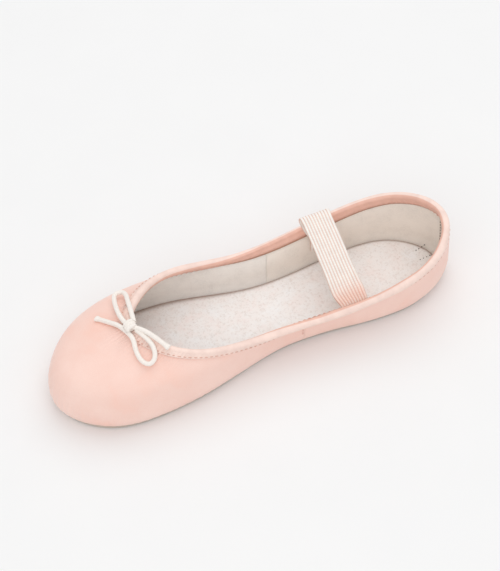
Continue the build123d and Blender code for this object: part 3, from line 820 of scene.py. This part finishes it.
def lining_grid(u, depth, rows):
    grid = upper_rows(u, depth, EDGE_DROP, rows)
    out = -grid_normals(grid, closed=False)
    height = np.linspace(0, 1, rows)[:, None]
    front = np.exp(-((np.abs(u[None, :] - 0.5) - 0.10) / 0.07) ** 2)
    creases = soft_noise(u[None, :] * 26, height * 22, 8, 11, 1.0) * front * LINING_CREASE
    loose = soft_noise(u[None, :] * 55, height * 4, 8, 12, 1.0) * LINING_LOOSE
    fade = np.sin(np.pi * height) ** 0.7
    return grid - out * (np.abs(creases) + loose)[..., None] * fade[..., None]


def make_lining():
    pieces = (("vamp_lining", VAMP_RANGE, 360, "lining"),
              ("quarter_lining_left", QUARTER_LEFT_RANGE, 140, "lining_rear"),
              ("quarter_lining_right", QUARTER_RIGHT_RANGE, 140, "lining_rear"))
    rows = 60
    for node, ends, columns, material in pieces:
        u = np.linspace(*ends, columns)
        outer = upper_rows(u, LINING_DEPTH, EDGE_DROP, rows)
        inner = lining_grid(u, WALL_DEPTH, rows)
        verts, faces, cloth = slab_mesh(outer, inner, closed=False)
        mesh = new_mesh(node + "_cloth", verts, faces, MATERIALS[material], cloth)
        piece = fix_normals(mesh)
        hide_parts(node)
        bend_over_arch(piece)


# ---------------------------------------------------------------- binding and drawstring
def binding_section(inward):
    """(drop, half width) from the outer flap's edge, over the channel, to the inner flap's edge."""
    side = [(BINDING_DEPTH, FLAP_HALF - 0.12), (6.2, FLAP_HALF), (5.6, FLAP_HALF), (5.0, FLAP_HALF + 0.02),
            (4.3, FLAP_HALF + 0.14), (3.8, FLAP_HALF + 0.26)]
    radius = CHANNEL_RADIUS - inward
    arc = [(CHANNEL_RADIUS - radius * np.sin(a), radius * np.cos(a)) for a in np.radians(range(-30, 211, 12))]
    down = [(drop, half - inward) for drop, half in side]
    return [*down, *arc, *[(drop, -half) for drop, half in reversed(down)]]


def ring_grid(section, u, swell):
    rows = []
    for drop, half in section:
        outside = np.sign(half) if half else 1
        fold = gathers(u, np.full(len(u), drop)) * BINDING_FOLD
        rows.append(from_topline(u, drop, MID_DEPTH - half - outside * (fold + swell)))
    return np.array(rows)


def make_binding():
    u = np.linspace(0, 1, 900, endpoint=False)
    swell = BINDING_SWELL * soft_noise(u * 90, u * 0, 8, 21, 1.0)
    outer = ring_grid(binding_section(0), u, swell)
    inner = ring_grid(binding_section(BINDING_THICK), u, swell * 0)
    verts, faces, _ = slab_mesh(outer, inner, closed=True)
    section = binding_section(0)
    # cloth y: 1 on the inner flap, which gets painted shade
    shaded_flap = np.array([1.0 if half < -1.2 else 0.0 for _, half in section])
    # cloth z: 1 along the inner flap's edge, where the dark painted shadow line goes
    edge = np.array([np.exp(-((drop - BINDING_DEPTH) / 0.8) ** 2) * (half < 0) for drop, half in section])
    tone = np.zeros(outer.shape)
    tone[..., 0] = u[None, :]
    tone[..., 1] = shaded_flap[:, None]
    tone[..., 2] = edge[:, None]
    cloth = np.concatenate([tone.reshape(-1, 3), (tone * [1, 0, 1]).reshape(-1, 3)])
    piece = fix_normals(new_mesh("topline_binding", verts, faces, MATERIALS["binding"],
                                 cloth))
    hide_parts("binding_heel", "binding_throat")
    bend_over_arch(piece)


def make_drawstring():
    u = np.linspace(0, 1, 400, endpoint=False)
    radius = 1.15
    angles = np.linspace(0, 2 * np.pi, 12, endpoint=False)
    rows = np.array([from_topline(u, CHANNEL_RADIUS - radius * np.sin(a), MID_DEPTH - radius * np.cos(a))
                     for a in angles])
    rows = np.concatenate([rows, rows[:1]])
    faces = grid_faces(len(rows), len(u), True)
    piece = new_mesh("drawstring_in_channel", rows.reshape(-1, 3), faces, MATERIALS["cord"])
    fix_normals(piece, weld=1e-6)
    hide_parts("drawstring_heel", "drawstring_throat")
    bend_over_arch(piece)


# ---------------------------------------------------------------- stitches
def capsule(verts, faces, start, end, radius, out):
    """One thread stitch, pressed into the surface at both ends."""
    start, end, out = Vector(start), Vector(end), Vector(out)
    along = (end - start).normalized()
    side = along.cross(out).normalized()
    rings, around = 7, 8
    first = len(verts)
    for ring in range(rings):
        share = ring / (rings - 1)
        centre = start.lerp(end, share) + out * (math.sin(math.pi * share) - 1) * radius * 0.8
        r = radius * (0.55 + 0.45 * math.sin(math.pi * share))
        for k in range(around):
            angle = 2 * math.pi * k / around
            verts.append(tuple(centre + side * math.cos(angle) * r + out * math.sin(angle) * r))
    tube_faces(faces, first, rings, around)


def stitch_line(verts, faces, line, outs, stitch):
    """Stitches of one kind along a line; outs says which way is out of the surface at each point."""
    pitch, length, radius = stitch
    steps = np.linalg.norm(np.diff(line, axis=0), axis=1)
    run = np.concatenate([[0], np.cumsum(steps)])
    for start in np.arange(FIRST_STITCH, run[-1] - length, pitch):
        ends = []
        for s in (start, start + length * rng.uniform(0.92, 1.05)):
            ends.append([np.interp(s, run, line[:, k]) for k in range(3)])
        out = [np.interp(start + length / 2, run, outs[:, k]) for k in range(3)]
        capsule(verts, faces, *ends, radius, Vector(out).normalized())


def stitching(name, lines, stitch, thread="thread"):
    """One piece with every stitch of a kind, from lines and their outward directions."""
    verts, faces = [], []
    for line, outs in lines:
        stitch_line(verts, faces, line, outs, stitch)
    return fix_normals(new_mesh(name, verts, faces, MATERIALS[thread]))


def topline_stitches():
    u = np.linspace(0, 1, 1400)
    flap = LAYER_GAP + BINDING_THICK + THREAD_LIFT
    outs = wall_outward(u, drop_to_v(u, BINDING_STITCH_DROP))
    lines = [(from_topline(u, BINDING_STITCH_DROP, depth), outs * sign)
             for depth, sign in ((-flap, 1), (WALL_DEPTH + flap, -1))]
    piece = stitching("binding_stitching", lines, BINDING_STITCH)
    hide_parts("binding_stitches_heel", "binding_stitches_throat")
    bend_over_arch(piece)


def seam_stitches():
    lines = []
    y = FLEX_Y - SEAM_SETBACK
    drops = np.linspace(BINDING_DEPTH + 0.8, 22, 40)
    for side in (1, -1):
        line = np.array([side_points(y, d, -0.12, side) for d in drops])
        beneath = np.array([side_points(y, d, 0.5, side) for d in drops])
        lines.append((line, line - beneath))
    piece = stitching("side_seam_stitching", lines, SEAM_STITCH)
    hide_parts("side_seam_stitches")
    bend_over_arch(piece)


def back_stitches():
    lines = []
    depth = WALL_DEPTH + LAYER_GAP + TAPE_THICK + 0.1
    drops = np.linspace(12, 33, 60)
    for u in (-BACK_STITCH_U, BACK_STITCH_U):
        line = np.array([from_topline(u, d, depth)[0] for d in drops])
        beneath = np.array([from_topline(u, d, depth - TAPE_THICK)[0] for d in drops])
        lines.append((line, line - beneath))
    piece = stitching("back_seam_stitching", lines, BACK_STITCH, "thread_dark")
    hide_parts("back_seam_stitches")
    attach(piece, "rear")


def heel_sock_stitches():
    """Two short rows of dark stitches that hold the insole down at the heel."""
    lines = []
    for start, end in (((-4.8, 102.6), (-7.2, 111.6)), ((2.0, 101.6), (1.3, 110.2))):
        line = np.linspace((*start, SOCK_TOP + 0.42), (*end, SOCK_TOP + 0.36), 40)
        lines.append((line, np.tile([0, 0, 1.0], (len(line), 1))))
    piece = stitching("heel_sock_stitching", lines, SOCK_STITCH, "thread_dark")
    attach(piece, "rear")


def make_stay_tape():
    u = np.linspace(-TAPE_HALF_U, TAPE_HALF_U, 24)
    top = WALL_DEPTH + LAYER_GAP
    drops = np.linspace(BINDING_DEPTH - 0.5, 35, 60)
    outer = np.array([from_topline(u, d, top - 0.05) for d in drops])
    lift = TAPE_THICK - 0.35 * np.abs(np.linspace(-1, 1, len(u))) ** 4
    inner = np.array([from_topline(u, d, top + lift) for d in drops])
    verts, faces, cloth = slab_mesh(outer, inner, closed=False)
    piece = fix_normals(new_mesh("heel_stay_tape_cloth", verts, faces, MATERIALS["tape"], cloth))
    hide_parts("heel_stay_tape")
    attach(piece, "rear")


# ---------------------------------------------------------------- sole pieces
SPINE_TOE_INSET, SPINE_HEEL_INSET, SPINE_REACH = 14, 12, 0.985
OUTSOLE_POINTS, FILLER_POINTS, INSOLE_POINTS = 360, 240, 420
INSOLE_CROWN, INSOLE_UNEVEN = 0.35, 0.12


def loop_points(loop, inset, z, count):
    u = np.linspace(0, 1, count, endpoint=False)
    points = loop.at(u) - loop.outward(u) * inset
    points[:, 2] = z
    return points


def edge_rings(loop, section, count):
    """Rings round a plate's edge, one for each (inset, z) of its section."""
    return np.array([loop_points(loop, inset, z, count) for inset, z in section])


def spine_rings(edge, rings, crown=0.0):
    """Rings that shrink from a closed outline to a spine along its middle, which may be crowned."""
    ys = edge[:, 1]
    spine = edge.copy()
    spine[:, 1] = np.clip(ys, ys.min() + SPINE_TOE_INSET, ys.max() - SPINE_HEEL_INSET)
    spine[:, 0] = np.interp(spine[:, 1], [p * LENGTH for p in PLAN_SHARES][::-1], CENTRE_X[1:-1][::-1])
    out = []
    for share in np.linspace(0, 1, rings + 1)[1:]:
        ring = edge + (spine - edge) * share * SPINE_REACH
        ring[:, 2] = edge[:, 2] + crown * math.sin(min(1, share * 2.2) * math.pi / 2)
        out.append(ring)
    return np.array(out)


def closed_plate(name, rows_top, rows_side, rows_bottom, material, nodes):
    """Join rings from the top's middle over the edge to the bottom's middle."""
    rings = np.concatenate([rows_top[::-1], rows_side, rows_bottom])
    count = rings.shape[1]
    faces = grid_faces(len(rings), count, True)
    verts = rings.reshape(-1, 3)
    across = []
    for row in (0, len(rings) - 1):
        for k in range(count // 2):
            a, b = row * count + k, row * count + (k + 1) % count
            c, d = row * count + (count - 1 - k) % count, row * count + (count - k) % count
            corners = list(dict.fromkeys([a, b, c, d]))
            if len(corners) >= 3:
                across.append(corners)
    piece = new_mesh(name, verts, [*faces.tolist(), *across], material, cloth=verts)
    fix_normals(piece, weld=2e-6)
    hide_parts(*nodes)
    return piece


def make_outsole():
    section = [(-0.35, 2.0), (-0.65, 1.9), (-0.8, 1.6), (-0.8, 1.0), (-0.75, 0.45), (-0.5, 0.1), (-0.1, 0.0)]
    stitch_groove = [(2.2, 0.0), (2.6, 0.25), (3.2, 0.3), (3.7, 0.05), (4.0, 0.0)]
    side = edge_rings(FEATHER, section, OUTSOLE_POINTS)
    top = spine_rings(side[0], 10)
    groove = edge_rings(FEATHER, stitch_groove, OUTSOLE_POINTS)
    middle = spine_rings(groove[-1], 12)
    piece = closed_plate("outsole_suede", top, np.concatenate([side, groove]), middle, MATERIALS["suede"],
                         ["outsole_heel", "outsole_toe"])
    bend_over_arch(piece)
    line = loop_points(FEATHER, 2.9, 0.42, 900)
    outs = np.tile([0, 0, -1.0], (len(line), 1))
    seam = stitching("sole_stitching", [(line, outs)], SOLE_STITCH)
    bend_over_arch(seam)


def make_filler():
    section = [(WALL_DEPTH + 0.35, 3.8), (WALL_DEPTH + 0.3, 2.35)]
    side = edge_rings(MARGIN, section, FILLER_POINTS)
    piece = closed_plate("bottom_filler_felt", spine_rings(side[0], 5), side,
                         spine_rings(side[-1], 5), MATERIALS["felt"],
                         ["bottom_filler_heel", "bottom_filler_toe"])
    bend_over_arch(piece)


def edge_distance(piece):
    """Stores on the cloth coordinate's z how near each point is to the insole's cut edge; this places the
    painted shadow line along the insole's edge.
    """
    values = []
    line = loop_points(FEATHER, 0, 0, 3000)[:, :2]
    for vert in piece.data.vertices:
        x, y = vert.co.x / MM, vert.co.y / MM
        gap = float(np.min(np.hypot(line[:, 0] - x, line[:, 1] - y)))
        # the painted shadow line is wider towards the toe
        width = 1.15 + 1.1 * min(1, max(0, (25 - y) / 60))
        values.append((x, y, math.exp(-(gap / width) ** 2)))
    layer = piece.data.attributes["cloth"]
    layer.data.foreach_set("vector", np.array(values).ravel())


def make_insole():
    """The padded insole: foam under a cloth sock lining, a little crowned, its edge rolled down."""
    top = SOCK_TOP
    section = [(0.5, top), (0.05, top - 0.12), (-0.2, top - 0.45), (-0.25, top - 0.9), (0.1, 5.2),
               (0.9, 4.5), (WALL_DEPTH + 0.2, FOAM_BOTTOM + 0.1)]
    side = edge_rings(FEATHER, section, INSOLE_POINTS)
    crown = spine_rings(side[0], 46, INSOLE_CROWN)
    flat = crown[..., 0] * 0.09, crown[..., 1] * 0.09
    fade = np.minimum(1, np.linspace(0, 3, len(crown)))[:, None]
    crown[..., 2] += INSOLE_UNEVEN * soft_noise(*flat, 12, 31, 1.0) * fade
    piece = closed_plate("insole_padded", crown, side, spine_rings(side[-1], 6),
                         MATERIALS["sock"],
                         ["sock_lining_heel", "sock_lining_toe", "insole_foam_heel", "insole_foam_toe"])
    edge_distance(piece)
    bend_over_arch(piece)


# ---------------------------------------------------------------- the elastic strap
def catmull(points, samples):
    """A smooth line through the points, evenly sampled."""
    pts = np.array(points, float)
    pts = np.concatenate([[2 * pts[0] - pts[1]], pts, [2 * pts[-1] - pts[-2]]])
    out = []
    for i in range(1, len(pts) - 2):
        p0, p1, p2, p3 = pts[i - 1:i + 3]
        for t in np.linspace(0, 1, 24, endpoint=False):
            out.append(0.5 * (2 * p1 + (p2 - p0) * t + (2 * p0 - 5 * p1 + 4 * p2 - p3) * t**2
                              + (3 * p1 - p0 - 3 * p2 + p3) * t**3))
    out.append(pts[-2])
    out = np.array(out)
    run = np.concatenate([[0], np.cumsum(np.linalg.norm(np.diff(out, axis=0), axis=1))])
    at = np.linspace(0, run[-1], samples)
    return np.stack([np.interp(at, run, out[:, k]) for k in range(2)], -1), run[-1]


def strap_rows(profile, side, across):
    """One middle line for each place across the strap; its sewn end lies on the lining there."""
    middle_y = STRAP_NEAR_Y if side > 0 else STRAP_FAR_TAB_Y
    rows = []
    for a in across:
        y = middle_y + a * STRAP_WIDTH / 2 * STRAP_TAB_SHARE
        tab = [side_points(np.array([y]), d, WALL_DEPTH + STRAP_TAB_LIFT, side)[0][[0, 2]]
               for d in STRAP_TAB_DROPS]
        line, length = catmull([*map(tuple, tab), *profile], 170)
        rows.append(line)
    return np.array(rows), length


def strap_half(name, profile, side, nodes):
    """One half of the strap, from its sewn end to the middle of the span, ribbed lengthwise."""
    across = np.linspace(-1, 1, STRAP_RIBS * 12 + 1)
    lines, length = strap_rows(profile, side, across)
    along = np.gradient(lines, axis=1)
    along /= np.linalg.norm(along, axis=2, keepdims=True)
    up = np.stack([along[..., 1], -along[..., 0]], -1) * (1 if side < 0 else -1)
    phase = (across + 1) / 2 * STRAP_RIBS
    rib = np.abs(np.sin(np.pi * phase)) ** 0.7
    half = STRAP_THICK / 2 * (0.42 + 0.58 * rib)
    half[[0, -1]] = STRAP_THICK * 0.15
    run = np.linspace(0, length, lines.shape[1])
    neck = np.interp(run, (0, 8, 16, 30), (STRAP_TAB_SHARE, STRAP_TAB_SHARE, 1, 0.94))
    if side > 0:
        middle = np.interp(run, (0, length), (STRAP_NEAR_Y, STRAP_MIDDLE_Y))
    else:
        middle = np.interp(run, (0, 8, 22, length),
                           (STRAP_FAR_TAB_Y, STRAP_FAR_TAB_Y, STRAP_FAR_Y + 0.4, STRAP_MIDDLE_Y))
    weave = 0.03 * np.sin(run * 2 * np.pi / 0.9)[None, :] * np.sin(np.pi * phase)[:, None]
    sheets = []
    for sign in (1, -1):
        off = sign * (half[:, None] + weave)
        x, z = lines[..., 0] + up[..., 0] * off, lines[..., 1] + up[..., 1] * off
        y = middle[None, :] + across[:, None] * STRAP_WIDTH / 2 * neck[None, :] + 0 * x
        sheets.append(np.stack([x, y, z], -1))
    verts, faces, _ = slab_mesh(sheets[0], sheets[1], closed=False)
    flat = np.zeros(sheets[0].shape)
    flat[..., 0] = run[None, :]
    flat[..., 1] = phase[:, None]
    # cloth z: where the near half is painted darker pink as shade, round 11 mm from its sewn end
    flat[..., 2] = np.exp(-((run - 11) / 7) ** 2)[None, :] * (side > 0)
    cloth = np.concatenate([flat.reshape(-1, 3)] * 2)
    piece = fix_normals(new_mesh(name, verts, faces, MATERIALS["elastic"], cloth))
    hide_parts(*nodes)
    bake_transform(piece)


def make_strap():
    strap_half("elastic_strap_near", STRAP_NEAR_HALF, 1, ["elastic_strap", "strap_end_left"])
    strap_half("elastic_strap_far", STRAP_FAR_HALF, -1, ["strap_end_right"])
    lines = []
    for side in (1, -1):
        middle_y = STRAP_NEAR_Y if side > 0 else STRAP_FAR_TAB_Y
        ys = middle_y + np.linspace(-6.5, 6.5, 40)
        for drop in (12.0, 15.2):
            line = side_points(ys, drop, WALL_DEPTH + 1.5, side)
            beneath = side_points(ys, drop, WALL_DEPTH, side)
            lines.append((line, line - beneath))
    seam = stitching("strap_end_stitching", lines, STRAP_STITCH)
    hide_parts("strap_stitches")
    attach(seam, "rear")


# ---------------------------------------------------------------- the object
make_camera()
make_bow()
make_stage()
make_leather()
make_lining()
make_binding()
make_drawstring()
topline_stitches()
seam_stitches()
back_stitches()
heel_sock_stitches()
make_stay_tape()
make_outsole()
make_filler()
make_insole()
make_strap()
